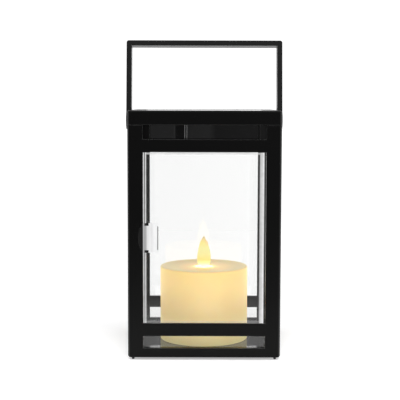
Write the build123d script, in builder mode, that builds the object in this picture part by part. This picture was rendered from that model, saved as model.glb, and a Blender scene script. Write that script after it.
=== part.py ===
"""Square patio solar lantern with a folding bail handle, a hinged clear door and a moving-flame candle.

Millimetres. The origin is on the ground at the centre of the footprint, +Z is up, the door faces -Y.
Heights are measured from a datum plane that stands foot_drop above the ground; the export raises
every piece by foot_drop.
"""
import os
from math import cos, radians, sin

from build123d import *

# ---- driving dimensions -------------------------------------------------------------------------
body_half = 70.0            # half of the square body
wall = 3.0                  # wall of the moulded frame
inner_half = body_half - wall
edge_round = 2.5            # rounding of the outer upright edges

foot_drop = 0.7             # the feet reach this far below the datum
frame_bottom = 1.35         # underside of the frame
lower_gap = (10.4, 21.7)    # slot between the bottom bar and the cross bar
window = (33.5, 190.5)      # main window between the cross bar and the header bar
upper_gap = (202.0, 215.0)  # slot under the lid, open at the top of the frame
opening_half = 56.0         # half width of every opening

floor_z = (5.0, 7.0)
floor_half = 66.8
ledge_z = (2.8, 5.0)        # ledge that the floor plate lies on
ledge_inner = 59.0
floor_screw = 62.0          # floor screws stand at +-floor_screw on both axes
foot_place = 65.3
foot_radius = 1.25
foot_tip = 0.4              # height of the taper at the foot's end
web_z = (199.0, 202.0)      # corner webs that the lid is screwed to
web_inner = 59.4
lid_screw = 64.0
corner_block = (50.0, 58.4, 66.8)  # L-shaped corner blocks moulded under the lid

panel_thick = 1.5
panel_inner = 57.3          # inner surface of the clear side panels
panel_z = (7.1, 192.5)

lid_z = (215.0, 228.2)
lid_plate = 224.2           # underside of the lid's top plate
lid_inner = 67.5
pocket_half = 56.0          # pocket for the solar panel
pocket_z = 225.8

housing_half = 57.0
housing_wall = 2.0
housing_z = (193.0, 224.2)
housing_floor = 195.0       # upper surface of the housing's floor
boss_z = 212.0              # where the lid's bosses meet the housing's pillars
boss_place = 48.0

pivot_z = 218.4             # axis of the folding handle
handle_lean = 7.7           # the handle rests leaning back by this many degrees
handle_inner = 70.1
handle_outer = 75.1
handle_depth = 13.0
handle_reach = 76.3         # pivot to the outside of the grip bar
handle_boss = 9.2           # radius of the round ends of the legs
grip_thick = 5.1
peg_radius = 2.2

hinge_x = 54.2              # axis of the door
hinge_y = -68.5
door_y = (-69.4, -67.6)
door_left = -55.7
door_border = 3.2           # raised border at the free edge of the door
barrel_radius = 1.4
pin_radius = 0.75

pull_x = (-60.4, -41.9)     # finger pull on the free edge of the door
pull_z = (99.0, 126.1)

battery_y = 22.0
battery_z = 206.0
battery_radius = 9.1
battery_half = 32.5

candle_y = -7.8
candle_radius = 42.1
candle_top = 77.8
candle_bore = 37.5
cap_z = (7.0, 10.0)
collar_radius = 9.0
collar_z = (72.8, 76.8)
sway_z = 64.8               # axis that the flame plate swings on
flame_tip = 106.9

running_gap = 0.05


def square_places(place):
    """The four places at +-place on both axes."""
    return [(x, y) for x in (-place, place) for y in (-place, place)]


def block(x, y, z, mode=Mode.ADD):
    """Box given by its low and high value on each axis, added to the part being built."""
    middle = tuple((low + high) / 2 for low, high in (x, y, z))
    with Locations(middle):
        Box(x[1] - x[0], y[1] - y[0], z[1] - z[0], mode=mode)


def rod(places, z, radius, mode=Mode.ADD):
    """Upright cylinders at the given places, between the two heights of z."""
    with Locations(*[(x, y, (z[0] + z[1]) / 2) for x, y in places]):
        Cylinder(radius, z[1] - z[0], mode=mode)


def rod_along(axis, centre, length, radius, mode=Mode.ADD):
    """Cylinder lying along X or Y."""
    turn = (0, 90, 0) if axis == "X" else (90, 0, 0)
    with Locations(centre):
        Cylinder(radius, length, rotation=turn, mode=mode)


def screws_up(places, seat, length, shank, head, head_high=1.6):
    """Screws driven upwards: head under the seat, shank above it, a cross cut into the head."""
    rod(places, (seat, seat + length), shank)
    rod(places, (seat - head_high, seat), head)
    with Locations(*[(x, y, seat - head_high + 0.4) for x, y in places]):
        Box(head * 1.2, 0.6, 0.8, mode=Mode.SUBTRACT)
        Box(0.6, head * 1.2, 0.8, mode=Mode.SUBTRACT)


# ---- body frame: four L-section posts joined by bars, one moulding -------------------------------
with BuildPart() as body_frame:
    with BuildSketch(Plane.XY.offset(frame_bottom)):
        RectangleRounded(2 * body_half, 2 * body_half, edge_round)
    extrude(amount=upper_gap[1] - frame_bottom)
    fillet(body_frame.edges().group_by(Axis.Z)[0], 2.2)
    chamfer(body_frame.edges().group_by(Axis.Z)[-1], 0.4)
    block((-inner_half, inner_half), (-inner_half, inner_half), (0, 220), Mode.SUBTRACT)
    # the same three openings on every side
    for low, high in (lower_gap, window, (upper_gap[0], upper_gap[1] + 1)):
        block((-opening_half, opening_half), (-body_half - 1, body_half + 1), (low, high), Mode.SUBTRACT)
        block((-body_half - 1, body_half + 1), (-opening_half, opening_half), (low, high), Mode.SUBTRACT)
    # ledge for the floor plate
    with BuildSketch(Plane.XY.offset(ledge_z[0])):
        Rectangle(2 * inner_half + 1, 2 * inner_half + 1)
        Rectangle(2 * ledge_inner, 2 * ledge_inner, mode=Mode.SUBTRACT)
    extrude(amount=ledge_z[1] - ledge_z[0])
    # channel in the ledge for the cable
    with Locations(Location((-61.8, 56.9, 3.9), (0, 0, -39.8))):
        Box(11.8, 2.6, 3.0, mode=Mode.SUBTRACT)
    # webs in the top corners for the lid screws
    for sx in (-1, 1):
        for sy in (-1, 1):
            block(sorted((sx * web_inner, sx * 67.3)), sorted((sy * web_inner, sy * 67.3)), web_z)
            # rib against the outer face of a side panel
            block(sorted((sx * 58.9, sx * 59.7)), sorted((sy * 64.0, sy * 67.3)), (8.0, web_z[0] + 1))
        # front rib against the inner face of a side panel
        block(sorted((sx * opening_half, sx * 57.2)), (-67.3, -64.0), (37, 187))
    # door stop behind the finger pull: two short prongs
    for low, high in ((pull_z[0] - 0.2, pull_z[0] + 2.8), (pull_z[1] - 1.6, pull_z[1] + 0.8)):
        block((-57.2, -50.7), (-67.4, -65.2), (low, high))
    rod(square_places(floor_screw), (2, 6), 1.5, Mode.SUBTRACT)
    rod(square_places(foot_place), (2, 6), 1.0, Mode.SUBTRACT)
    rod(square_places(lid_screw), (198, 203), 1.4, Mode.SUBTRACT)
    # sockets for the hinge pins of the door
    for z_socket in (window[0] - 1.5, window[1] + 1.5):
        rod([(hinge_x, hinge_y)], (z_socket - 1.6, z_socket + 1.6), pin_radius + running_gap, Mode.SUBTRACT)
body_frame.part.label = "body frame"

with BuildPart() as feet:
    rod(square_places(foot_place), (foot_tip - foot_drop, ledge_z[0]), foot_radius)
    rod(square_places(foot_place), (ledge_z[0], ledge_z[1]), 1.0)
    with Locations(*[(x, y, foot_tip / 2 - foot_drop) for x, y in square_places(foot_place)]):
        Cone(0.9, foot_radius, foot_tip)
feet.part.label = "feet"

# ---- floor --------------------------------------------------------------------------------------
cap_places = [(28 * cos(radians(a)), candle_y + 28 * sin(radians(a))) for a in (60, 180, 300)]
cable_end = (16.0, candle_y)
cable_corner = (-65.0, 59.6)

with BuildPart() as floor_plate:
    block((-floor_half, floor_half), (-floor_half, floor_half), floor_z)
    rod(square_places(floor_screw), (floor_z[1], 14.5), 2.8)
    rod(square_places(floor_screw), (4, 13.5), 1.2, Mode.SUBTRACT)
    rod(square_places(foot_place), (4, 8), 1.2, Mode.SUBTRACT)
    rod([cable_corner], (4, 8), 1.3, Mode.SUBTRACT)
    rod(cap_places, (4, 8), 1.5, Mode.SUBTRACT)
    rod([cable_end], (4, 8), 1.3, Mode.SUBTRACT)
floor_plate.part.label = "floor plate"

with BuildPart() as floor_screws:
    screws_up(square_places(floor_screw), ledge_z[0], 9.5, 1.2, 2.4)
floor_screws.part.label = "floor screws"

with BuildPart() as candle_screws:
    screws_up(cap_places, floor_z[0], 11.5, 1.2, 2.4)
candle_screws.part.label = "candle screws"

# ---- clear panels -------------------------------------------------------------------------------
panel_outer = panel_inner + panel_thick
with BuildPart() as left_panel:
    block((-panel_outer, -panel_inner), (-66.9, 66.9), panel_z)
left_panel.part.label = "left clear panel"

with BuildPart() as right_panel:
    block((panel_inner, panel_outer), (-66.9, 66.9), panel_z)
right_panel.part.label = "right clear panel"

with BuildPart() as rear_panel:
    block((-57.2, 57.2), (65.4, 66.9), panel_z)
rear_panel.part.label = "rear clear panel"

with BuildPart() as front_strip:
    block((-57.2, 57.2), (-66.9, -65.4), (panel_z[0], 31.0))
front_strip.part.label = "front lower clear strip"

# ---- door ---------------------------------------------------------------------------------------
door_z = (window[0] + 0.3, window[1] - 0.3)
with BuildPart() as door_panel:
    block((door_left, hinge_x), door_y, door_z)
    fillet(door_panel.edges().filter_by(Axis.Y), 0.8)
    # sunk middle, leaving a raised border
    sunk_x = (door_left + door_border, hinge_x - 4.0)
    sunk_z = (door_z[0] + 2.6, door_z[1] - 1.8)
    block(sunk_x, (door_y[0] - 1, door_y[0] + 0.6), sunk_z, Mode.SUBTRACT)
    rod([(hinge_x, hinge_y)], door_z, barrel_radius)
    for low, high in ((door_z[0], door_z[0] + 8), (door_z[1] - 8, door_z[1])):
        rod([(hinge_x, hinge_y)], (low, high), pin_radius, Mode.SUBTRACT)
door_panel.part.label = "clear door"

with BuildPart() as hinge_pins:
    rod([(hinge_x, hinge_y)], (door_z[0] - 2.6, door_z[0] + 8), pin_radius)
    rod([(hinge_x, hinge_y)], (door_z[1] - 8, door_z[1] + 2.6), pin_radius)
hinge_pins.part.label = "door hinge pins"

pull_mid = (pull_z[0] + pull_z[1]) / 2
with BuildPart() as door_pull:
    with BuildSketch(Plane.XZ.offset(70.3)):
        with BuildLine():
            ThreePointArc((-55.9, pull_z[0]), (pull_x[0], pull_mid), (-55.9, pull_z[1]))
            Polyline((-55.9, pull_z[1]), (pull_x[1], pull_z[1]), (pull_x[1], pull_z[0]), (-55.9, pull_z[0]))
        make_face()
    extrude(amount=2.2)
    # hollow for the fingertip, leaving a straight ridge along the hinge-side edge
    rod([(-51.6, -101.2)], (pull_z[0] - 1, pull_z[1] + 1), 30.0, Mode.SUBTRACT)
    block((-55.2, -51.4), (-70.3, door_y[0]), (pull_z[0] + 1, pull_z[1] - 1))
    block((-51.0, -42.7), (-70.3, door_y[0] + 0.6), (pull_z[0] + 1, pull_z[1] - 1))
door_pull.part.label = "door finger pull"

# ---- lid ----------------------------------------------------------------------------------------
with BuildPart() as lid:
    with BuildSketch(Plane.XY.offset(lid_z[0])):
        RectangleRounded(2 * body_half, 2 * body_half, edge_round)
    extrude(amount=lid_z[1] - lid_z[0])
    fillet(lid.edges().group_by(Axis.Z)[-1], 2.0)
    chamfer(lid.edges().group_by(Axis.Z)[0], 0.4)
    block((-lid_inner, lid_inner), (-lid_inner, lid_inner), (lid_z[0] - 1, lid_plate), Mode.SUBTRACT)
    block((-pocket_half, pocket_half), (-pocket_half, pocket_half), (pocket_z, 230), Mode.SUBTRACT)
    rod(square_places(boss_place), (boss_z, lid_plate + 0.5), 4.0)
    for sx in (-1, 1):
        for sy in (-1, 1):
            near, middle, far = corner_block
            block(sorted((sx * near, sx * far)), sorted((sy * middle, sy * far)), (web_z[1], lid_plate + 0.5))
            block(sorted((sx * middle, sx * far)), sorted((sy * near, sy * far)), (web_z[1], lid_plate + 0.5))
    for sx in (-1, 1):
        block(sorted((sx * 66.2, sx * 67.8)), (-6, 6), (lid_z[0], lid_plate + 0.5))
        rod_along("X", (sx * 68, 0, pivot_z), 6, peg_radius + running_gap, Mode.SUBTRACT)
    rod(square_places(boss_place), (boss_z - 1, 222), 1.2, Mode.SUBTRACT)
    rod(square_places(lid_screw), (web_z[1] - 1, 216), 1.2, Mode.SUBTRACT)
    rod([(-20, 0)], (lid_plate - 1, pocket_z + 1), 2.5, Mode.SUBTRACT)
lid.part.label = "lid"

with BuildPart() as lid_screws:
    screws_up(square_places(lid_screw), web_z[0], 15, 1.2, 2.4)
lid_screws.part.label = "lid screws"

# ---- solar panel --------------------------------------------------------------------------------
board_z = (pocket_z, pocket_z + 1.0)
with BuildPart() as cell_board:
    block((-55.8, 55.8), (-55.8, 55.8), board_z)
    rod([(-21, 0), (-19, 0)], (board_z[0] - 1, board_z[1] + 1), 0.6, Mode.SUBTRACT)
cell_board.part.label = "solar panel backing board"

with BuildPart() as solar_cells:
    with Locations((0, 0, board_z[1] + 0.15)):
        with GridLocations(26.6, 0, 4, 1):
            Box(25.6, 104, 0.3)
solar_cells.part.label = "solar cells"

with BuildPart() as cell_window:
    block((-55.8, 55.8), (-55.8, 55.8), (board_z[1] + 0.3, board_z[1] + 1.2))
cell_window.part.label = "solar panel window"

# ---- electronics housing under the lid ----------------------------------------------------------
with BuildPart() as housing:
    with BuildSketch(Plane.XY.offset(housing_z[0])):
        RectangleRounded(2 * housing_half, 2 * housing_half, 7)
    extrude(amount=housing_z[1] - housing_z[0])
    fillet(housing.edges().group_by(Axis.Z)[0], 1.2)
    with BuildSketch(Plane.XY.offset(housing_floor)):
        RectangleRounded(2 * (housing_half - housing_wall), 2 * (housing_half - housing_wall), 5)
    extrude(amount=40, mode=Mode.SUBTRACT)
    rod(square_places(boss_place), (housing_floor - 0.5, boss_z), 4.0)
    rod(square_places(boss_place), (housing_z[0] - 1, 196), 2.8, Mode.SUBTRACT)
    rod(square_places(boss_place), (housing_z[0] - 1, boss_z + 1), 1.5, Mode.SUBTRACT)
    # two upright guide ribs on the front
    rib_y = (-housing_half - 0.8, -housing_half + 0.5)
    for x_rib in (-18.2, -16.4):
        block((x_rib - 0.35, x_rib + 0.35), rib_y, (housing_z[0] + 2, housing_z[1]))
    # opening under the battery and the ribs at its ends
    block((-33.5, 33.5), (11.5, 32.5), (190, 196), Mode.SUBTRACT)
    for sx in (-1, 1):
        block(sorted((sx * 33.6, sx * 35.4)), (11.0, 33.0), (housing_floor - 0.5, 214))
    rod([(40.5, battery_y)], (housing_floor - 0.5, 202), 3.0)
    rod([(40.5, battery_y)], (190, 201), 1.2, Mode.SUBTRACT)
    # slot of the slide switch, board pillars, cable outlet
    block((15.3, 24.7), (-45.7, -42.3), (190, 196), Mode.SUBTRACT)
    rod([(-38, -36), (-6, -12)], (housing_floor - 0.5, 199), 2.4)
    rod([(-38, -36), (-6, -12)], (196, 200), 0.9, Mode.SUBTRACT)
    rod_along("X", (-56, 30, 197.8), 6, 1.3, Mode.SUBTRACT)
housing.part.label = "electronics housing"

with BuildPart() as housing_screws:
    screws_up(square_places(boss_place), 196, 23, 1.2, 2.4)
housing_screws.part.label = "housing screws"

with BuildPart() as charge_board:
    block((-45, 0), (-40, -8), (199, 200.6))
    block((-36, -29), (-24, -17), (200.4, 202))
    block((-24, -18), (-34, -28), (200.4, 204))
    rod([(-12, -32), (-12, -24)], (200.4, 208), 2.5)
    rod([(-38, -36), (-6, -12)], (198, 202), 1.0, Mode.SUBTRACT)
charge_board.part.label = "charge controller board"

with BuildPart() as board_screws:
    rod([(-38, -36), (-6, -12)], (196.2, 200.6), 0.9)
    rod([(-38, -36), (-6, -12)], (200.6, 201.8), 1.9)
board_screws.part.label = "board screws"

with BuildPart() as battery:
    rod_along("X", (-0.6, battery_y, battery_z), 2 * battery_half - 1.2, battery_radius)
    rod_along("X", (battery_half - 0.9, battery_y, battery_z), 1.8, 3.0)
    fillet(battery.edges().filter_by(GeomType.CIRCLE).group_by(SortBy.RADIUS)[-1], 0.8)
battery.part.label = "rechargeable cell"

with BuildPart() as contacts:
    for sx in (-1, 1):
        block(sorted((sx * 33.0, sx * 33.5)), (battery_y - 7, battery_y + 7), (197, 215))
        block(sorted((sx * 32.5, sx * 33.1)), (battery_y - 2.5, battery_y + 2.5), (203.5, 208.5))
contacts.part.label = "battery contacts"

with BuildPart() as battery_door:
    block((-36, 44.5), (9.0, 35.0), (191.6, housing_z[0]))
    block((-33.2, 33.2), (11.8, 32.2), (housing_z[0] - 0.2, 195.5))
    block((-31.2, 31.2), (13.8, 30.2), (housing_z[0], 197), Mode.SUBTRACT)
    rod([(40.5, battery_y)], (190, 194), 1.5, Mode.SUBTRACT)
    fillet(battery_door.edges().group_by(Axis.Z)[0].filter_by(GeomType.LINE), 0.5)
battery_door.part.label = "battery door"

with BuildPart() as battery_screw:
    screws_up([(40.5, battery_y)], 191.6, 8, 1.1, 2.4)
battery_screw.part.label = "battery door screw"

with BuildPart() as switch_body:
    block((13, 27), (-48, -40), (housing_floor, 201))
    block((14.2, 25.8), (-46.8, -41.2), (housing_floor - 1, 199), Mode.SUBTRACT)
switch_body.part.label = "switch body"

with BuildPart() as switch_knob:
    block((20.6, 23.6), (-45.5, -42.5), (190.2, 198))
    block((20.0, 24.2), (-46.4, -41.6), (195.3, 196.5))
    for x_groove in (21.3, 22.1, 22.9):
        block((x_groove - 0.2, x_groove + 0.2), (-47, -41), (190, 190.6), Mode.SUBTRACT)
switch_knob.part.label = "switch knob"

with BuildPart() as panel_wires:
    for x_start, x_end in ((-21, -27), (-19, -15)):
        with BuildLine() as route:
            FilletPolyline(
                (x_start, 0, board_z[1]),
                (x_start, 0, 214),
                (x_end, -14, 209),
                (x_end, -14, 200.6),
                radius=2,
            )
        with BuildSketch(Plane(origin=route.line @ 0, z_dir=route.line % 0)):
            Circle(0.5)
        sweep()
panel_wires.part.label = "solar panel wires"

with BuildPart() as cable:
    with BuildLine() as route:
        FilletPolyline(
            (-40, -16, 197.8),
            (-49, -16, 197.8),
            (-49, 30, 197.8),
            (-62, 30, 197.8),
            (cable_corner[0], cable_corner[1], 197.6),
            (cable_corner[0], cable_corner[1], 3.9),
            (cable_end[0], cable_end[1], 3.9),
            (cable_end[0], cable_end[1], cap_z[1] + 1.5),
            radius=2,
        )
    with BuildSketch(Plane(origin=route.line @ 0, z_dir=route.line % 0)):
        Circle(0.9)
    sweep()
cable.part.label = "candle cable"

# ---- folding handle -----------------------------------------------------------------------------
lean = radians(handle_lean)
handle_plane = Plane(origin=(0, 0, pivot_z), x_dir=(1, 0, 0), z_dir=(0, -cos(lean), sin(lean)))
with BuildPart() as handle:
    with BuildSketch(handle_plane):
        with Locations((0, handle_reach / 2)):
            Rectangle(2 * handle_outer, handle_reach)
        with Locations((0, (handle_reach - grip_thick) / 2)):
            Rectangle(2 * handle_inner, handle_reach - grip_thick, mode=Mode.SUBTRACT)
    extrude(amount=handle_depth / 2, both=True)
    # rounded ends of the two legs, and the pegs that snap into the lid
    for sx in (-1, 1):
        leg_mid = sx * (handle_inner + handle_outer) / 2
        rod_along("X", (leg_mid, 0, pivot_z), handle_outer - handle_inner, handle_boss)
        rod_along("X", (sx * 68.2, 0, pivot_z), 5.0, peg_radius)
        rod_along("X", (sx * 65.6, 0, pivot_z), 1.0, 3.1)
    top_edges = handle.edges().filter_by(lambda e: e.center().Z > pivot_z + 60)
    outer_edges = top_edges.filter_by(lambda e: abs(e.center().X) > handle_outer - 0.1)
    top_corners = outer_edges.filter_by(lambda e: e.length > handle_depth - 1)
    fillet(top_corners, 2.2)
    long_edges = handle.edges().filter_by(Axis.X).filter_by(lambda e: e.length > 100)
    fillet(long_edges, 0.5)
handle.part.label = "folding handle"

# ---- candle -------------------------------------------------------------------------------------
candle_plane = Plane.XZ.offset(-candle_y)
candle_axis = Axis((0, candle_y, 0), (0, 0, 1))

with BuildPart() as candle_shell:
    with BuildSketch(candle_plane) as profile:
        with BuildLine():
            Polyline((candle_bore, cap_z[0]), (candle_radius, cap_z[0]), (candle_radius, candle_top))
            Polyline((candle_radius, candle_top), (37.4, candle_top))
            Spline(
                (37.4, candle_top),
                (32.0, candle_top - 0.9),
                (20.0, candle_top - 1.4),
                (collar_radius, collar_z[1]),
                tangents=((-1, -0.1), (-1, 0.1)),
            )
            Polyline((collar_radius, collar_z[1]), (collar_radius, collar_z[0]), (33.5, collar_z[0]))
            Polyline((33.5, collar_z[0]), (candle_bore, collar_z[0] - 4), (candle_bore, cap_z[0]))
        make_face()
    revolve(axis=candle_axis)
    fillet(candle_shell.edges().group_by(Axis.Z)[-1], 1.4)
    fillet(candle_shell.edges().group_by(Axis.Z)[0].group_by(SortBy.RADIUS)[-1], 0.8)
candle_shell.part.label = "candle wax shell"

board_box = ((12, 34), (candle_y - 12, candle_y + 12))
board_base = cap_z[1] + 1.5
with BuildPart() as candle_cap:
    rod([(0, candle_y)], cap_z, candle_bore - 0.1)
    rod(cap_places, (cap_z[1] - 0.5, 18.5), 4.0)
    rod(cap_places, (cap_z[0] - 1, 17.5), 1.2, Mode.SUBTRACT)
    for y_pad in (board_box[1][0] + 1, board_box[1][1] - 1):
        block((13, 33), (y_pad - 1, y_pad + 1), (cap_z[1] - 0.5, board_base))
    rod([cable_end], (cap_z[0] - 1, cap_z[1] + 1), 1.3, Mode.SUBTRACT)
candle_cap.part.label = "candle base cap"

with BuildPart() as drive_board:
    block(board_box[0], board_box[1], (board_base, board_base + 1.6))
    block((20, 26), (candle_y - 7, candle_y - 1), (board_base + 1.5, board_base + 3))
    rod([(28, candle_y + 6)], (board_base + 1.5, board_base + 9), 2.5)
drive_board.part.label = "flame driver board"

coil_z = (36.5, 44.0)
with BuildPart() as chassis:
    block((-9, 9), (candle_y - 9, candle_y + 9), (cap_z[1], cap_z[1] + 2.5))
    for side in (-1, 1):
        block((-4, 4), sorted((candle_y + side * 7, candle_y + side * 9)), (cap_z[1] + 2, collar_z[0]))
    rod([(0, candle_y)], (cap_z[1] + 2, coil_z[1] + 0.5), 2.9)
    rod([(0, candle_y)], (coil_z[0] - 1.5, coil_z[0]), 6.3)
    rod_along("Y", (0, candle_y, sway_z), 20, 0.4, Mode.SUBTRACT)
chassis.part.label = "flame chassis"

with BuildPart() as coil:
    rod([(0, candle_y)], coil_z, 6.0)
    rod([(0, candle_y)], (coil_z[0] - 1, coil_z[1] + 1), 3.0, Mode.SUBTRACT)
coil.part.label = "drive coil"

with BuildPart() as pivot_wire:
    rod_along("Y", (0, candle_y, sway_z), 18, 0.4)
pivot_wire.part.label = "flame pivot wire"

led_y = candle_y - 5.2
with BuildPart() as collar:
    rod([(0, candle_y)], collar_z, collar_radius - 0.05)
    block((-4.0, 4.0), (candle_y - 1.4, candle_y + 1.4), (collar_z[0] - 1, collar_z[1] + 1), Mode.SUBTRACT)
    rod([(0, led_y)], (collar_z[0] - 1, collar_z[1] + 1), 1.55, Mode.SUBTRACT)
collar.part.label = "wick collar"

lead_end = collar_z[0] - 11
with BuildPart() as led:
    rod([(0, led_y)], (collar_z[0] - 4, collar_z[1] - 0.2), 1.5)
    fillet(led.edges().group_by(Axis.Z)[-1], 1.3)
    rod([(-0.7, led_y), (0.7, led_y)], (lead_end, collar_z[0] - 3.8), 0.25)
led.part.label = "flame LED"

magnet_z = (49.8, 52.3)
flame_base = collar_z[1] + 0.7
flame_side = [(2.2, flame_base), (6.2, 80.8), (6.6, 84.5), (5.2, 94.5), (2.9, 102.3), (0, flame_tip)]
with BuildPart() as flame_plate:
    with BuildSketch(candle_plane):
        with BuildLine():
            Spline(*flame_side, tangents=((1, 0.15), (-0.45, 1)))
            Spline(*[(-x, z) for x, z in reversed(flame_side)], tangents=((-0.45, -1), (1, -0.15)))
            Polyline(
                (-2.2, flame_base),
                (-1.6, flame_base - 1),
                (-1.6, magnet_z[1]),
                (1.6, magnet_z[1]),
                (1.6, flame_base - 1),
                (2.2, flame_base),
            )
        make_face()
        with Locations((0, sway_z)):
            Circle(2.4)
            Circle(0.4 + running_gap, mode=Mode.SUBTRACT)
    extrude(amount=0.6, both=True)
flame_plate.part.label = "flame plate"

with BuildPart() as magnet:
    rod([(0, candle_y)], magnet_z, 2.5)
magnet.part.label = "flame magnet"

wire_start = board_base + 1.6
wire_routes = [
    ((14.5, -9.5, wire_start), (14.5, -9.5, 58), (0.7, -5.2, lead_end - 0.35)),
    ((13.5, -7.8, wire_start), (13.5, -7.8, 52), (-0.7, -5.2, 58), (-0.7, -5.2, lead_end - 0.05)),
]
with BuildPart() as flame_wires:
    for points in wire_routes:
        with BuildLine() as route:
            FilletPolyline(*[(x, candle_y + y, z) for x, y, z in points], radius=1.5)
        with BuildSketch(Plane(origin=route.line @ 0, z_dir=route.line % 0)):
            Circle(0.3)
        sweep()
flame_wires.part.label = "flame LED wires"

# ---- export -------------------------------------------------------------------------------------
pieces = [
    body_frame, feet, floor_plate, floor_screws, candle_screws,
    left_panel, right_panel, rear_panel, front_strip,
    door_panel, hinge_pins, door_pull,
    lid, lid_screws, cell_board, solar_cells, cell_window,
    housing, housing_screws, charge_board, board_screws, battery, contacts,
    battery_door, battery_screw, switch_body, switch_knob, panel_wires, cable,
    handle,
    candle_shell, candle_cap, drive_board, chassis, coil, pivot_wire, collar,
    led, flame_plate, magnet, flame_wires,
]
os.makedirs("parts", exist_ok=True)
for piece in pieces:
    raised = piece.part.moved(Location((0, 0, foot_drop)))
    raised.label = piece.part.label
    export_step(raised, "parts/" + raised.label.replace(" ", "_") + ".step")
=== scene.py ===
"""Looks for the solar lantern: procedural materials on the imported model, candle glow, studio and camera."""

import math

import bpy
import bmesh
from mathutils import Euler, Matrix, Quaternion, Vector


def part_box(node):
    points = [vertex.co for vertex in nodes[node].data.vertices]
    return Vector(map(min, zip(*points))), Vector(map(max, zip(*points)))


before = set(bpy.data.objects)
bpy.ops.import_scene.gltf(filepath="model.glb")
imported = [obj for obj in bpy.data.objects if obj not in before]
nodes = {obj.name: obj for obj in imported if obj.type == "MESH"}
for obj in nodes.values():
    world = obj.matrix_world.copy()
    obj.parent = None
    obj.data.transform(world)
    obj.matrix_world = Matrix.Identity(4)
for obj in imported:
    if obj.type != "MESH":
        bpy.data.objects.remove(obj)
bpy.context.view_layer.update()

SHELL_LOW, SHELL_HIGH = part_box("candle_wax_shell")
FLAME_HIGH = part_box("flame_plate")[1]
BODY_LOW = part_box("body_frame")[0]
LID_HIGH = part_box("lid")[1]
DOOR_LOW, DOOR_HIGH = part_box("clear_door")
PULL_LOW, PULL_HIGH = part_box("door_finger_pull")
CANDLE_X = (SHELL_LOW.x + SHELL_HIGH.x) / 2
CANDLE_Y = (SHELL_LOW.y + SHELL_HIGH.y) / 2
CANDLE_RADIUS = SHELL_HIGH.x - CANDLE_X

# ---- camera, in metres and degrees --------------------------------------------------------------
CAMERA_DISTANCE = 0.952        # in front of the body
CAMERA_SIDE = -0.0052
CAMERA_HEIGHT = 0.2376
CAMERA_PITCH = 5.38
CAMERA_YAW = 0.07
CAMERA_ROLL = 0.15
CAMERA_FOCAL = 94.9            # millimetres, on a sensor of CAMERA_SENSOR
CAMERA_SENSOR = 36.0
CAMERA_NEAR = 0.05

# ---- studio light -------------------------------------------------------------------------------
# Brightness of the surroundings by direction. Each part fades in over an EDGE or FOOT, and out over
# an END: stretches of the unit direction's x (right), y (back) or z (up).
WORLD_FRONT = 0.29
WORLD_BACK = 1.25              # white wall behind the lantern
BACK_EDGE = (0.45, 0.8)
WORLD_TOP = 0.6                # added overhead
TOP_EDGE = (0.35, 0.8)
WORLD_UPPER = 0.15             # added above the horizon
UPPER_EDGE = (0.10, 0.45)
WORLD_RIGHT = 0.4              # added at the front on the right
RIGHT_EDGE = (-0.02, 0.14)
RIGHT_END = (-0.1, 0.0)
WORLD_STRIP = 0.9              # strip lights at both sides, above the ground
STRIP_EDGE = (0.90, 0.95)
STRIP_END = (-0.08, 0.0)
STRIP_FOOT = (-0.25, -0.1)
WORLD_SEEN = 1.16              # the wall as the camera sees it

SOFTBOX_PLACE = (0.0, -0.35, 1.9)
SOFTBOX_SIZE = 1.6
SOFTBOX_POWER = 12             # watts

# ---- paper floor, in metres ---------------------------------------------------------------------
FLOOR_FRONT = -0.38
FLOOR_FADE = 0.22              # its front edge fades in mirror images over this depth
FLOOR_BACK = 0.9
FLOOR_HALF_WIDTH = 1.5
FLOOR_GLOW = 0.2               # light from the paper itself
FLOOR_SHADE = 0.87             # how pale the camera sees the paper
# the paper's light as the camera sees it, by depth
FLOOR_SEEN_START = -0.1
FLOOR_SEEN = ((-0.06, 0.40), (0.08, 0.08), (0.15, 0.05), (0.30, 0.06), (0.55, 0.09), (0.9, 0.115))

# ---- tones by place on the lantern, in metres ---------------------------------------------------
STRAY_X = 0.045                # stray light on the lid's right corner block, inside the slot
STRAY_Z = LID_HIGH.z - 0.0132
GROUND_GLOW_PAINT = 0.007                  # painted light from the floor on the black plastic near the ground
GROUND_GLOW_FADE = (0.02, 0.13)      # full at the first height, gone at the second

# how light the painted glow in the door's thick border looks, by distance from its edge
BORDER_FREE = ((0.0, 0.08), (0.0003, 0.72), (0.0009, 0.80), (0.0012, 0.06), (0.0018, 0.06), (0.0020, 0.86),
               (0.0026, 0.86), (0.0028, 0.10))
BORDER_HINGE = ((0.0, 0.05), (0.0003, 0.01), (0.0012, 0.01), (0.0016, 0.74), (0.0022, 0.96), (0.0030, 0.66),
                (0.0038, 0.70), (0.0047, 0.56), (0.0055, 0.42))
BORDER_LOW = ((0.0, 0.30), (0.0010, 0.56), (0.0022, 0.60))
BORDER_TOP = ((0.0, 0.50), (0.0009, 0.80), (0.0018, 0.84))
BORDER_SOFT = 0.0001           # the border ends over this width

# the same for the finger pull, by distance from its hinge-side edge
PULL_TONES = ((0.0, 0.12), (0.0006, 0.12), (0.0010, 0.86), (0.0035, 0.92), (0.0060, 0.80), (0.0080, 0.88),
              (0.0100, 0.84), (0.0113, 0.42), (0.0129, 0.40), (0.0131, 0.52), (0.0138, 0.50), (0.0140, 0.002),
              (0.0182, 0.002), (0.0185, 0.010))
STOP_DEPTH = 0.0024            # the two prongs of the door stop, painted dark into the ends of the pull as if seen through it
STOP_X = (-0.0545, -0.0507)
RIDGE_WIDTH = 0.001            # the painted dark line on the pull's hinge-side edge stops short of its ends
RIDGE_STOP = 0.0028
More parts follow.
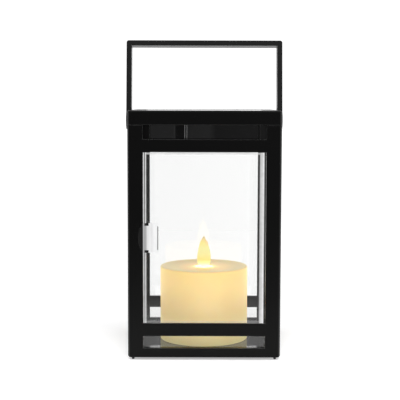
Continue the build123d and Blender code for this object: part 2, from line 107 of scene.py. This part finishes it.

# the housing from left to right: where each stretch starts, its shine, and how strong the painted highlight
# on the ribs is there
HOUSING_TONES = ((-0.06, 0.62, 0.0), (-0.0282, 0.85, 0.0), (-0.0268, 0.20, 0.0), (-0.0187, 0.5, 1.0),
                 (-0.0182, 0.0, 0.0), (-0.0166, 0.5, 0.85), (-0.0161, 0.54, 0.0), (0.0045, 0.48, 0.0),
                 (0.0065, 0.40, 0.0), (0.0085, 0.28, 0.0))
HOUSING_HALF = 0.06

# glow of the wax side by height, from foot to top
WAX_SIDE = ((0.0, (0.30, 0.255, 0.07)), (0.2, (0.38, 0.305, 0.085)), (0.5, (0.46, 0.325, 0.10)),
            (0.8, (0.60, 0.40, 0.10)), (1.0, (0.64, 0.39, 0.06)))
# glow of the wax top, from the flame to the rim
WAX_TOP = ((0.0, (2.4, 2.1, 0.8)), (0.16, (1.2, 1.05, 0.36)), (0.25, (0.62, 0.44, 0.13)),
           (0.40, (0.44, 0.24, 0.04)), (0.60, (0.28, 0.19, 0.03)), (0.80, (0.22, 0.165, 0.04)),
           (1.0, (0.27, 0.20, 0.06)))
# painted shade: the candle is a little darker on the left of its middle
WAX_SHADE_X = (-0.036, 0.014)
WAX_SHADE = 0.83

# glow of the flame by height, from its foot inside the wax to its tip
FLAME_FOOT = SHELL_HIGH.z - 0.003
FLAME_TONES = ((0.0, (2.0, 1.9, 1.1)), (0.10, (1.6, 1.5, 0.80)), (0.16, (1.0, 0.92, 0.42)),
               (0.26, (0.88, 0.72, 0.22)), (0.45, (0.86, 0.80, 0.36)), (0.62, (0.85, 0.82, 0.38)),
               (0.78, (0.90, 0.78, 0.27)), (0.90, (0.80, 0.62, 0.30)), (1.0, (0.47, 0.37, 0.25)))
BLUSH_X = (0.0004, 0.0026)     # red blush on the right of the tip
BLUSH_HEIGHT = (0.66, 0.78)

FINGER_PITCH = 0.0022          # silver lines on the solar cells, and half their width, in metres
FINGER_HALF = 0.00012
BEVEL_SAMPLES = 4
WHITE = (1, 1, 1, 1)
SHEET_TINT = (0.98, 0.981, 0.98)
SHEET_IOR = 1.53
PULL_COVER = 0.93              # share of painted glow in the finger pull; the rest is seen through it


def grey(value):
    return (value, value, value, 1)


def scaled_colour(colour, factor):
    return tuple(factor * part for part in colour)


# ---- node helpers -------------------------------------------------------------------------------
class Graph:
    """The node tree of a material or world, with short helpers for adding and linking nodes."""

    def __init__(self, owner, output):
        owner.use_nodes = True
        self.owner = owner
        self.tree = owner.node_tree
        self.tree.nodes.clear()
        self.out = self.tree.nodes.new("ShaderNode" + output)
        self.coord = None

    def add(self, kind, **settings):
        """Add a node. Each of its inputs is set to a value or linked; other settings are attributes."""
        node = self.tree.nodes.new("ShaderNode" + kind)
        inputs = settings.pop("inputs", {})
        for key, value in settings.items():
            setattr(node, key, value)
        for key, value in inputs.items():
            if hasattr(value, "is_output"):
                self.tree.links.new(value, node.inputs[key])
            else:
                node.inputs[key].default_value = value
        return node

    def object_coord(self):
        """The point's place in metres, in the lantern's own frame."""
        if self.coord is None:
            self.coord = self.add("TexCoord").outputs["Object"]
        return self.coord

    def scaled(self, vector):
        node = self.add("Mapping", inputs={"Vector": self.object_coord(), "Scale": vector})
        return node.outputs["Vector"]

    def noise(self, scale, detail=3.0, rough=0.55, coord=None):
        """Noise with about scale features per metre."""
        inputs = {"Scale": scale, "Detail": detail, "Roughness": rough}
        inputs["Vector"] = coord if coord is not None else self.object_coord()
        return self.add("TexNoise", inputs=inputs).outputs["Fac"]

    def xyz(self, vector=None):
        """The three parts of a vector, or of the point's place when none is given."""
        split = self.add("SeparateXYZ", inputs={0: vector if vector is not None else self.object_coord()})
        return [split.outputs[index] for index in range(3)]

    def span(self, value, low, high, start=0.0, end=1.0):
        """Turn low..high into start..end, held at both ends."""
        inputs = {"Value": value, "From Min": low, "From Max": high, "To Min": start, "To Max": end}
        return self.add("MapRange", inputs=inputs).outputs["Result"]

    def ramp(self, fac, stops, interpolation="LINEAR"):
        node = self.add("ValToRGB", inputs={"Fac": fac})
        node.color_ramp.interpolation = interpolation
        elements = node.color_ramp.elements
        while len(elements) > 1:
            elements.remove(elements[-1])
        for index, (place, colour) in enumerate(stops):
            element = elements[0] if index == 0 else elements.new(place)
            element.position = place
            element.color = colour if len(colour) == 4 else (*colour, 1)
        return node.outputs["Color"]

    def profile(self, value, tones, low=0.0, high=None, interpolation="LINEAR"):
        """Grey tone that follows a value in metres; tones are pairs of value and tone."""
        high = tones[-1][0] if high is None else high
        stops = [((at - low) / (high - low), grey(tone)) for at, tone in tones]
        return self.ramp(self.span(value, low, high), stops, interpolation)

    def math(self, operation, a, b=None, c=None, clamp=False):
        inputs = {0: a}
        if b is not None:
            inputs[1] = b
        if c is not None:
            inputs[2] = c
        return self.add("Math", operation=operation, use_clamp=clamp, inputs=inputs).outputs[0]

    def times(self, first, *others):
        product = first
        for factor in others:
            product = self.math("MULTIPLY", product, factor)
        return product

    def mix(self, fac, a, b, blend="MIX"):
        node = self.add("Mix", data_type="RGBA", blend_type=blend)
        for index, value in ((0, fac), (6, a), (7, b)):
            if hasattr(value, "is_output"):
                self.tree.links.new(value, node.inputs[index])
            elif index == 0:
                node.inputs[index].default_value = value
            else:
                node.inputs[index].default_value = (*value, 1) if len(value) == 3 else value
        return node.outputs[2]

    def mottled(self, colour, noise, dark, light):
        """The colour, made a little darker and lighter by a noise."""
        return self.mix(1.0, colour, self.ramp(noise, [(0.3, dark), (0.7, light)]), "MULTIPLY")

    def specks(self, noise, start, full):
        """White where the noise is strong, black elsewhere."""
        return self.ramp(noise, [(start, (0, 0, 0)), (full, (1, 1, 1))])

    def bump(self, height, distance, strength=1.0, normal=None):
        inputs = {"Height": height, "Distance": distance, "Strength": strength}
        if normal is not None:
            inputs["Normal"] = normal
        return self.add("Bump", inputs=inputs).outputs["Normal"]

    def soft_edge(self, radius):
        return self.add("Bevel", samples=BEVEL_SAMPLES, inputs={"Radius": radius}).outputs["Normal"]

    def fresnel(self, ior, normal):
        return self.add("Fresnel", inputs={"IOR": ior, "Normal": normal}).outputs[0]

    def front_side(self):
        """1 on the outer side of a face and 0 on its inner side."""
        return self.math("SUBTRACT", 1.0, self.add("NewGeometry").outputs["Backfacing"])

    def camera_ray(self):
        return self.add("LightPath").outputs["Is Camera Ray"]

    def mix_shader(self, fac, first, second):
        return self.add("MixShader", inputs={0: fac, 1: first.outputs[0], 2: second.outputs[0]})

    def surface(self, shader):
        self.tree.links.new(shader.outputs[0], self.out.inputs["Surface"])
        return self.owner

    def principled(self, **inputs):
        """Finish with a principled shader; an input's name is given with _ for each space."""
        named = {key.replace("_", " "): value for key, value in inputs.items()}
        return self.surface(self.add("BsdfPrincipled", inputs=named))


def material_graph(name):
    return Graph(bpy.data.materials.new(name), "OutputMaterial")


def paint(material, *names):
    """Put the material on every slot of the named CAD nodes."""
    for name in names:
        for slot in nodes[name].material_slots:
            slot.link = "DATA"
            slot.material = material


# ---- black plastics -----------------------------------------------------------------------------
def painted_edge_highlight(m):
    """Mask for the painted edge highlight: 1 along outward edges and 0 on flat faces, weaker where two sides
    meet in a round.
    """
    plain = m.add("NewGeometry").outputs["Normal"]
    dot = m.add("VectorMath", operation="DOT_PRODUCT", inputs={0: m.soft_edge(0.0006), 1: plain})
    sharp = m.span(dot.outputs["Value"], 0.985, 0.80)
    x, y, _ = m.xyz(plain)
    diagonal = m.math("ABSOLUTE", m.times(x, y))
    return m.math("MAXIMUM", sharp, m.span(diagonal, 0.25, 0.45, 0.0, 0.42))


def moulded_black(name="moulded black ABS", low=0.0028, high=0.0050, level=0.08, stray=0.0):
    """Satin black ABS with a fine spark-eroded grain, faint flow marks, slightly polished edges under a
    painted highlight and painted light from the floor near the ground; stray paints a glow of stray light
    inside the slot.
    """
    m = material_graph(name)
    grain = m.noise(2600, 2.0, 0.6)
    flow = m.noise(14, 3.0, 0.5, m.scaled((1, 1, 0.25)))
    smudge = m.noise(45, 4.0, 0.6)
    edge_glint = painted_edge_highlight(m)
    x, _, z = m.xyz()
    colour = m.mix(m.times(flow, 0.5), grey(low), grey(high))
    # painted light from the floor, strongest near the ground
    colour = m.mix(m.span(z, *GROUND_GLOW_FADE, GROUND_GLOW_PAINT, 0.0), colour, grey(0.5))
    # painted highlight: the edges are made paler
    colour = m.mix(m.times(edge_glint, 0.8), colour, grey(0.06))
    rough = m.math("MULTIPLY_ADD", smudge, 0.16, 0.24)
    rough = m.math("SUBTRACT", rough, m.times(edge_glint, 0.06))
    normal = m.bump(grain, 0.00002, 0.4, m.soft_edge(0.0004))
    normal = m.bump(flow, 0.0005, 0.2, normal)
    in_slot = m.times(m.math("GREATER_THAN", x, STRAY_X), m.math("LESS_THAN", z, STRAY_Z))
    return m.principled(
        Base_Color=colour, Roughness=rough, Normal=normal, IOR=1.5,
        Specular_IOR_Level=m.math("MULTIPLY_ADD", edge_glint, 0.5, level),
        Emission_Color=WHITE, Emission_Strength=m.times(in_slot, stray))


def polished_black(name, rough_low=0.035, ior=1.5, tones=None):
    """Mirror-polished black plastic with faint dust and hairline scratches; given tones, it also carries
    painted highlights on its ribs.
    """
    m = material_graph(name)
    scratch = m.specks(m.noise(180, 2.0, 0.5, m.scaled((1, 18, 1))), 0.60, 0.66)
    dust = m.specks(m.noise(900, 2.0, 0.6), 0.62, 0.75)
    ripple = m.noise(22, 2.0, 0.4)
    clean = (0.004, 0.004, 0.0045)
    level, rib_glint = 0.5, 0.0
    if tones is not None:
        x = m.xyz()[0]
        reach = (-HOUSING_HALF, HOUSING_HALF, "CONSTANT")
        level = m.profile(x, [(at, shine) for at, shine, pale in tones], *reach)
        # painted highlight on the ribs: a paler, metallic colour
        rib_glint = m.profile(x, [(at, pale) for at, shine, pale in tones], *reach)
        clean = m.mix(rib_glint, clean, grey(0.50))
    rough = m.math("MULTIPLY_ADD", scratch, 0.06, rough_low)
    return m.principled(
        Base_Color=m.mix(m.times(dust, 0.18), clean, grey(0.05)),
        Roughness=m.math("MULTIPLY_ADD", dust, 0.12, rough),
        Normal=m.bump(ripple, 0.0006, 0.05, m.soft_edge(0.0003)),
        IOR=ior, Specular_IOR_Level=level, Metallic=rib_glint)


def soft_plastic(name, colour=(0.012, 0.012, 0.012), rough=0.65):
    """Matte rubber or plain plastic with a fine grain."""
    m = material_graph(name)
    grain = m.noise(1800, 3.0, 0.6)
    tone = m.noise(60, 2.0, 0.5)
    return m.principled(
        Base_Color=m.mix(tone, colour, scaled_colour(colour, 1.7)),
        Roughness=m.math("MULTIPLY_ADD", tone, 0.15, rough),
        Normal=m.bump(grain, 0.00008, 0.6, m.soft_edge(0.0003)))


# ---- clear plastic ------------------------------------------------------------------------------
def clear_surface(m, tint=SHEET_TINT, graze=0.0, border=None):
    """Clear sheet. It lets light straight through, mirrors at a slant and carries a little haze.

    A graze above 0 takes the mirror away from faces seen more edge-on than that. A border is a mask and the
    tone of the light painted there as a glow.
    """
    ripple = m.noise(9, 2.0, 0.4)
    haze = m.specks(m.noise(35, 4.0, 0.6), 0.45, 0.8)
    scratch = m.specks(m.noise(140, 2.0, 0.5, m.scaled((14, 14, 1))), 0.63, 0.68)
    normal = m.bump(ripple, 0.0003, 0.1)
    once = m.fresnel(SHEET_IOR, normal)
    both_faces = m.math("DIVIDE", m.times(once, 2.0), m.math("ADD", once, 1.0))
    front = m.front_side()
    amount = m.math("MULTIPLY", both_faces, front, clamp=True)
    if graze > 0.0:
        geometry = m.add("NewGeometry")
        facing = m.add("VectorMath", operation="DOT_PRODUCT", inputs={
            0: geometry.outputs["Normal"], 1: geometry.outputs["Incoming"]}).outputs["Value"]
        amount = m.times(amount, m.span(facing, graze, 2.5 * graze))
    rough = m.math("MULTIPLY_ADD", haze, 0.03, 0.015)
    rough = m.math("MULTIPLY_ADD", scratch, 0.08, rough)
    mirror = m.add("BsdfGlossy", inputs={"Color": WHITE, "Roughness": rough, "Normal": normal})
    clear = m.add("BsdfTransparent", inputs={"Color": (*tint, 1)})
    veil = m.add("BsdfDiffuse", inputs={"Color": grey(0.8)})
    veil_amount = m.times(m.math("MULTIPLY_ADD", scratch, 0.02, 0.006), front)
    body = m.mix_shader(veil_amount, clear, veil)
    if border is not None:
        mask, tone = border
        # painted glow in the border
        border_glow_paint = m.add("Emission", inputs={"Color": tone, "Strength": 1.0})
        body = m.mix_shader(m.times(mask, front), body, border_glow_paint)
    return m.surface(m.mix_shader(amount, body, mirror))


def clear_sheet(name, tint=SHEET_TINT, graze=0.0):
    """Thin clear polystyrene sheet."""
    return clear_surface(material_graph(name), tint, graze)


def clear_door():
    """The door sheet: clear in the middle, with painted light and dark lines glowing in its thick border and
    its barrel.
    """
    m = material_graph("clear door sheet")
    x, _, z = m.xyz()
    mask, glow = 0.0, None
    for distance, cover, tones in (
            (m.math("SUBTRACT", z, DOOR_LOW.z), 0.25, BORDER_LOW),
            (m.math("SUBTRACT", DOOR_HIGH.z, z), 0.6, BORDER_TOP),
            (m.math("SUBTRACT", x, DOOR_LOW.x), 0.95, BORDER_FREE),
            (m.math("SUBTRACT", DOOR_HIGH.x, x), 0.95, BORDER_HINGE)):
        width = tones[-1][0]
        tone = m.profile(distance, tones)
        inside = m.span(distance, width - BORDER_SOFT, width, cover, 0.0)
        glow = tone if glow is None else m.mix(m.math("DIVIDE", inside, cover), glow, tone)
        mask = m.math("MAXIMUM", inside, mask)
    glow = m.mottled(glow, m.noise(240, 3.0, 0.6), grey(0.88), grey(1.08))
    return clear_surface(m, border=(mask, glow))


def clear_pull():
    """Finger pull: a thick clear moulding painted as a glow, with painted dark where the black post is behind
    it with the door shut.
    """
    m = material_graph("clear finger pull")
    x, _, z = m.xyz()
    streak = m.noise(90, 3.0, 0.55, m.scaled((1, 1, 0.3)))
    # painted light and dark tones across the pull, the dark part standing in for the post seen through it
    tone = m.profile(m.math("SUBTRACT", PULL_HIGH.x, x), PULL_TONES)
    tone = m.mottled(tone, streak, (0.86, 0.86, 0.87), grey(1.08))
    from_end = m.math("MINIMUM", m.math("SUBTRACT", PULL_HIGH.z, z), m.math("SUBTRACT", z, PULL_LOW.z))
    beside_stop = m.times(m.math("GREATER_THAN", x, STOP_X[0]), m.math("LESS_THAN", x, STOP_X[1]))
    # painted dark marks for the door stop's prongs seen through the pull
    painted_prongs = m.times(m.math("LESS_THAN", from_end, STOP_DEPTH), beside_stop)
    tone = m.mix(painted_prongs, tone, grey(0.004))
    # near the pull's ends the painted dark edge line gives way to the pale glow
    on_ridge = m.math("GREATER_THAN", x, PULL_HIGH.x - RIDGE_WIDTH)
    tone = m.mix(m.times(m.math("LESS_THAN", from_end, RIDGE_STOP), on_ridge), tone, grey(0.88))
    normal = m.bump(streak, 0.0004, 0.3, m.soft_edge(0.0003))
    front = m.front_side()
    mirror = m.add("BsdfGlossy", inputs={"Color": WHITE, "Roughness": 0.06, "Normal": normal})
    glow = m.add("Emission", inputs={"Color": tone, "Strength": 1.0})
    through = m.add("BsdfTransparent", inputs={"Color": grey(0.97)})
    body = m.mix_shader(m.times(m.camera_ray(), front, PULL_COVER), through, glow)
    return m.surface(m.mix_shader(m.times(m.fresnel(1.5, normal), 0.5, front), body, mirror))


# ---- metals -------------------------------------------------------------------------------------
def metal(name, colour, rough):
    """Drawn or plated metal with fine streaks and a little tarnish."""
    m = material_graph(name)
    streak = m.noise(300, 3.0, 0.6, m.scaled((1, 1, 40)))
    tarnish = m.noise(120, 3.0, 0.6)
    return m.principled(
        Base_Color=m.mix(m.times(tarnish, 0.6), colour, scaled_colour(colour, 0.6)), Metallic=1.0,
        Roughness=m.math("MULTIPLY_ADD", streak, 0.2, rough), Normal=m.bump(streak, 0.00005, 0.4))


def winding():
    """Enamelled copper wire laid in level turns."""
    m = material_graph("copper winding")
    turns = m.add("TexWave", wave_type="BANDS", bands_direction="Z", inputs={
        "Vector": m.object_coord(), "Scale": 900.0, "Distortion": 0.4, "Detail": 1.0}).outputs["Fac"]
    return m.principled(
        Base_Color=m.mix(turns, (0.20, 0.06, 0.02), (0.62, 0.26, 0.10)), Metallic=0.8, Roughness=0.32,
        Normal=m.bump(turns, 0.0002, 0.8), Coat_Weight=0.4)


# ---- candle -------------------------------------------------------------------------------------
def wax():
    """Cream wax whose light from inside is painted as a glow: warm and bright towards the top, white-hot
    round the flame.
    """
    m = material_graph("candle wax")
    x, y, z = m.xyz()
    dx = m.math("SUBTRACT", x, CANDLE_X)
    dy = m.math("SUBTRACT", y, CANDLE_Y)
    radius = m.math("SQRT", m.math("ADD", m.times(dx, dx), m.times(dy, dy)))
    # painted shade on the left of the candle's middle
    painted_left_shade = m.span(dx, *WAX_SHADE_X, WAX_SHADE, 1.0)
    side = m.ramp(m.span(z, SHELL_LOW.z, SHELL_HIGH.z), WAX_SIDE)
    side = m.mix(1.0, side, painted_left_shade, "MULTIPLY")
    top = m.ramp(m.span(radius, 0.0, CANDLE_RADIUS), WAX_TOP)
    top = m.mix(1.0, top, painted_left_shade, "MULTIPLY")
    upward = m.xyz(m.add("NewGeometry").outputs["Normal"])[2]
    glow = m.mix(m.span(upward, 0.2, 0.75), side, top)
    cloud = m.noise(38, 4.0, 0.55)
    fine = m.noise(420, 3.0, 0.6)
    normal = m.bump(cloud, 0.0010, 0.3, m.bump(fine, 0.00012, 0.25))
    return m.principled(
        Base_Color=m.mix(cloud, (0.76, 0.65, 0.38), (0.84, 0.74, 0.46)),
        Roughness=m.math("MULTIPLY_ADD", fine, 0.12, 0.36), Normal=normal, IOR=1.44, Specular_IOR_Level=0.4,
        Subsurface_Weight=0.6, Subsurface_Radius=(0.012, 0.006, 0.002), Subsurface_Scale=0.5,
        Emission_Color=m.mottled(glow, cloud, (0.96, 0.95, 0.94), grey(1.02)), Emission_Strength=1.0)


def flame():
    """Glowing flame plate, brightest at its foot, with warmer thin edges and a red blush at the tip."""
    m = material_graph("flame plate")
    x, _, z = m.xyz()
    height = m.span(z, FLAME_FOOT, FLAME_HIGH.z)
    blush = m.span(m.math("SUBTRACT", x, CANDLE_X), *BLUSH_X)
    blush = m.times(blush, m.span(height, *BLUSH_HEIGHT), 0.7)
    colour = m.mix(blush, m.ramp(height, FLAME_TONES), (0.95, 0.62, 0.38))
    thin = m.add("LayerWeight", inputs={"Blend": 0.35}).outputs["Facing"]
    colour = m.mix(m.times(thin, 0.6), colour, (0.80, 0.50, 0.20))
    mottle = m.noise(260, 3.0, 0.6)
    return m.principled(
        Base_Color=(0.30, 0.26, 0.12, 1), Roughness=0.35, Normal=m.bump(mottle, 0.0002, 0.4),
        Emission_Color=m.mottled(colour, mottle, (0.96, 0.95, 0.9), grey(1.03)), Emission_Strength=1.0)


def glow_plastic(name, colour, strength):
    """Clear or waxy plastic lit by the LED."""
    m = material_graph(name)
    tone = m.noise(150, 3.0, 0.6)
    brighter = tuple(min(1.0, part) for part in scaled_colour(colour, 1.12))
    shade = m.mix(tone, colour, brighter)
    return m.principled(
        Base_Color=shade, Roughness=m.math("MULTIPLY_ADD", tone, 0.15, 0.3),
        Emission_Color=shade, Emission_Strength=strength, Normal=m.bump(tone, 0.0001, 0.3))


# ---- solar panel, electronics -------------------------------------------------------------------
def silicon():
    """Polycrystalline silicon: angular blue grains under fine silver fingers."""
    m = material_graph("silicon cells")
    y = m.xyz()[1]
    grains = m.add("TexVoronoi", feature="F1", distance="MANHATTAN", inputs={
        "Vector": m.object_coord(), "Scale": 190.0, "Randomness": 1.0})
    shade = m.xyz(grains.outputs["Color"])[0]
    blue = m.ramp(shade, [
        (0.0, (0.004, 0.008, 0.030)), (0.55, (0.008, 0.018, 0.075)), (1.0, (0.016, 0.036, 0.13))])
    finger = m.math("LESS_THAN", m.math("PINGPONG", y, FINGER_PITCH / 2), FINGER_HALF)
    return m.principled(
        Base_Color=m.mix(m.times(finger, 0.75), blue, (0.42, 0.44, 0.46)),
        Roughness=m.math("MULTIPLY_ADD", shade, 0.2, 0.25), Metallic=m.times(finger, 0.7),
        Normal=m.bump(shade, 0.00004, 0.3), Coat_Weight=0.3)


def laminate(name, colour):
    """Board, sleeve or chassis plastic with a fine weave."""
    m = material_graph(name)
    weave = m.noise(800, 2.0, 0.5)
    tone = m.noise(70, 3.0, 0.5)
    return m.principled(
        Base_Color=m.mix(tone, scaled_colour(colour, 0.85), colour),
        Roughness=m.math("MULTIPLY_ADD", weave, 0.2, 0.38), Normal=m.bump(weave, 0.00006, 0.5))


# ---- every node gets its material ---------------------------------------------------------------
paint(moulded_black(), "body_frame")
paint(moulded_black("moulded black lid", stray=0.006), "lid")
paint(moulded_black("moulded black handle", 0.012, 0.020, 0.16), "folding_handle")
paint(polished_black("polished housing", tones=HOUSING_TONES), "electronics_housing")
paint(polished_black("polished black ABS"), "battery_door")
paint(polished_black("mirror black floor", 0.03, 1.45), "floor_plate")
paint(soft_plastic("rubber feet"), "feet")
paint(soft_plastic("switch plastic", (0.02, 0.02, 0.021), 0.5),
      "switch_body", "switch_knob", "candle_base_cap")
paint(soft_plastic("cable sheath", (0.010, 0.010, 0.011), 0.45), "candle_cable")
paint(soft_plastic("red wire sheath", (0.30, 0.018, 0.014), 0.4), "solar_panel_wires", "flame_LED_wires")
paint(clear_sheet("clear side sheet", graze=0.08), "left_clear_panel", "right_clear_panel")
paint(clear_sheet("clear rear sheet"), "rear_clear_panel")
paint(clear_sheet("clear lower strip"), "front_lower_clear_strip")
paint(clear_door(), "clear_door")
paint(clear_pull(), "door_finger_pull")
paint(clear_sheet("solar panel glass", (0.95, 0.965, 0.96)), "solar_panel_window")
paint(metal("zinc plated screws", (0.62, 0.62, 0.60), 0.32),
      "floor_screws", "candle_screws", "lid_screws", "housing_screws", "board_screws", "battery_door_screw")
paint(metal("plain steel wire", (0.42, 0.42, 0.43), 0.28), "door_hinge_pins", "flame_pivot_wire")
paint(metal("nickel plate", (0.72, 0.70, 0.66), 0.22), "battery_contacts", "flame_magnet")
paint(laminate("white laminate", (0.74, 0.75, 0.73)), "solar_panel_backing_board")
paint(laminate("green board", (0.012, 0.10, 0.035)), "charge_controller_board", "flame_driver_board")
paint(laminate("cell sleeve", (0.05, 0.17, 0.34)), "rechargeable_cell")
paint(laminate("cream chassis plastic", (0.72, 0.70, 0.62)), "flame_chassis")
paint(winding(), "drive_coil")
paint(silicon(), "solar_cells")
paint(wax(), "candle_wax_shell")
paint(flame(), "flame_plate")
paint(glow_plastic("wick collar", (1.0, 0.78, 0.38), 1.6), "wick_collar")
paint(glow_plastic("LED lens", (1.0, 0.84, 0.5), 6.0), "flame_LED")


# ---- studio -------------------------------------------------------------------------------------
def paper():
    """Pale paper that glows a little, seen from above only.

    The camera sees all of it. Everything else sees its front edge fade out.
    """
    m = material_graph("studio floor paper")
    seen = m.camera_ray()
    depth = m.xyz()[1]
    colour = m.mix(m.noise(6, 2.0, 0.5), grey(0.86), grey(0.88))
    colour = m.mix(seen, colour, grey(FLOOR_SHADE))
    shown = m.profile(depth, FLOOR_SEEN, FLOOR_SEEN_START)
    sheet = m.add("BsdfPrincipled", inputs={
        "Base Color": colour, "Roughness": 0.9, "Specular IOR Level": 0.0,
        "Emission Color": m.mix(seen, grey(FLOOR_GLOW), shown), "Emission Strength": 1.0,
    })
    gone = m.add("BsdfTransparent", inputs={"Color": WHITE})
    near = m.span(depth, FLOOR_FRONT, FLOOR_FRONT + FLOOR_FADE)
    solid = m.times(m.math("MAXIMUM", near, seen), m.front_side())
    return m.surface(m.mix_shader(solid, gone, sheet))


def studio_floor():
    """Plain floor that ends a short way in front of the lantern."""
    mesh = bpy.data.meshes.new("studio floor")
    sheet = bmesh.new()
    corners = [sheet.verts.new(place) for place in (
        (-FLOOR_HALF_WIDTH, FLOOR_FRONT, 0.0), (FLOOR_HALF_WIDTH, FLOOR_FRONT, 0.0),
        (FLOOR_HALF_WIDTH, FLOOR_BACK, 0.0), (-FLOOR_HALF_WIDTH, FLOOR_BACK, 0.0))]
    sheet.faces.new(corners)
    sheet.to_mesh(mesh)
    sheet.free()
    mesh.materials.append(paper())
    floor = bpy.data.objects.new("studio floor", mesh)
    bpy.context.scene.collection.objects.link(floor)


def studio_world():
    """White where the camera looks. For the light: a bright back, soft top and front, two side strips."""
    world = bpy.data.worlds.new("studio")
    bpy.context.scene.world = world
    g = Graph(world, "OutputWorld")
    x, y, z = g.xyz(g.add("TexCoord").outputs["Generated"])
    right = g.times(g.span(x, *RIGHT_EDGE, 0.0, WORLD_RIGHT), g.span(y, *RIGHT_END, 1.0, 0.0))
    strip = g.times(g.span(g.math("ABSOLUTE", x), *STRIP_EDGE, 0.0, WORLD_STRIP),
                    g.span(y, *STRIP_END, 1.0, 0.0), g.span(z, *STRIP_FOOT))
    overhead = g.span(z, *TOP_EDGE, 0.0, WORLD_TOP)
    upper = g.span(z, *UPPER_EDGE, 0.0, WORLD_UPPER)
    total = g.span(y, *BACK_EDGE, WORLD_FRONT, WORLD_BACK)
    for part in (overhead, upper, right, strip):
        total = g.math("ADD", total, part)
    light = g.add("Background", inputs={"Color": WHITE, "Strength": total})
    white = g.add("Background", inputs={"Color": WHITE, "Strength": WORLD_SEEN})
    g.surface(g.mix_shader(g.camera_ray(), light, white))


def softbox():
    """A square light overhead, turned to the foot of the lantern."""
    data = bpy.data.lights.new("overhead softbox", "AREA")
    data.shape = "SQUARE"
    data.size = SOFTBOX_SIZE
    data.energy = SOFTBOX_POWER
    lamp = bpy.data.objects.new("overhead softbox", data)
    lamp.location = SOFTBOX_PLACE
    lamp.rotation_mode = "QUATERNION"
    lamp.rotation_quaternion = (-Vector(SOFTBOX_PLACE)).to_track_quat("-Z", "Y")
    bpy.context.scene.collection.objects.link(lamp)


def camera():
    data = bpy.data.cameras.new("camera")
    data.sensor_width = CAMERA_SENSOR
    data.lens = CAMERA_FOCAL
    data.clip_start = CAMERA_NEAR
    cam = bpy.data.objects.new("camera", data)
    cam.location = (CAMERA_SIDE, BODY_LOW.y - CAMERA_DISTANCE, CAMERA_HEIGHT)
    look = Euler((math.radians(90.0 - CAMERA_PITCH), 0.0, math.radians(-CAMERA_YAW))).to_quaternion()
    cam.rotation_mode = "QUATERNION"
    cam.rotation_quaternion = look @ Quaternion((0, 0, 1), math.radians(CAMERA_ROLL))
    bpy.context.scene.collection.objects.link(cam)
    bpy.context.scene.camera = cam


studio_floor()
studio_world()
softbox()
camera()

scene = bpy.context.scene
scene.view_settings.view_transform = "Standard"
scene.view_settings.look = "None"
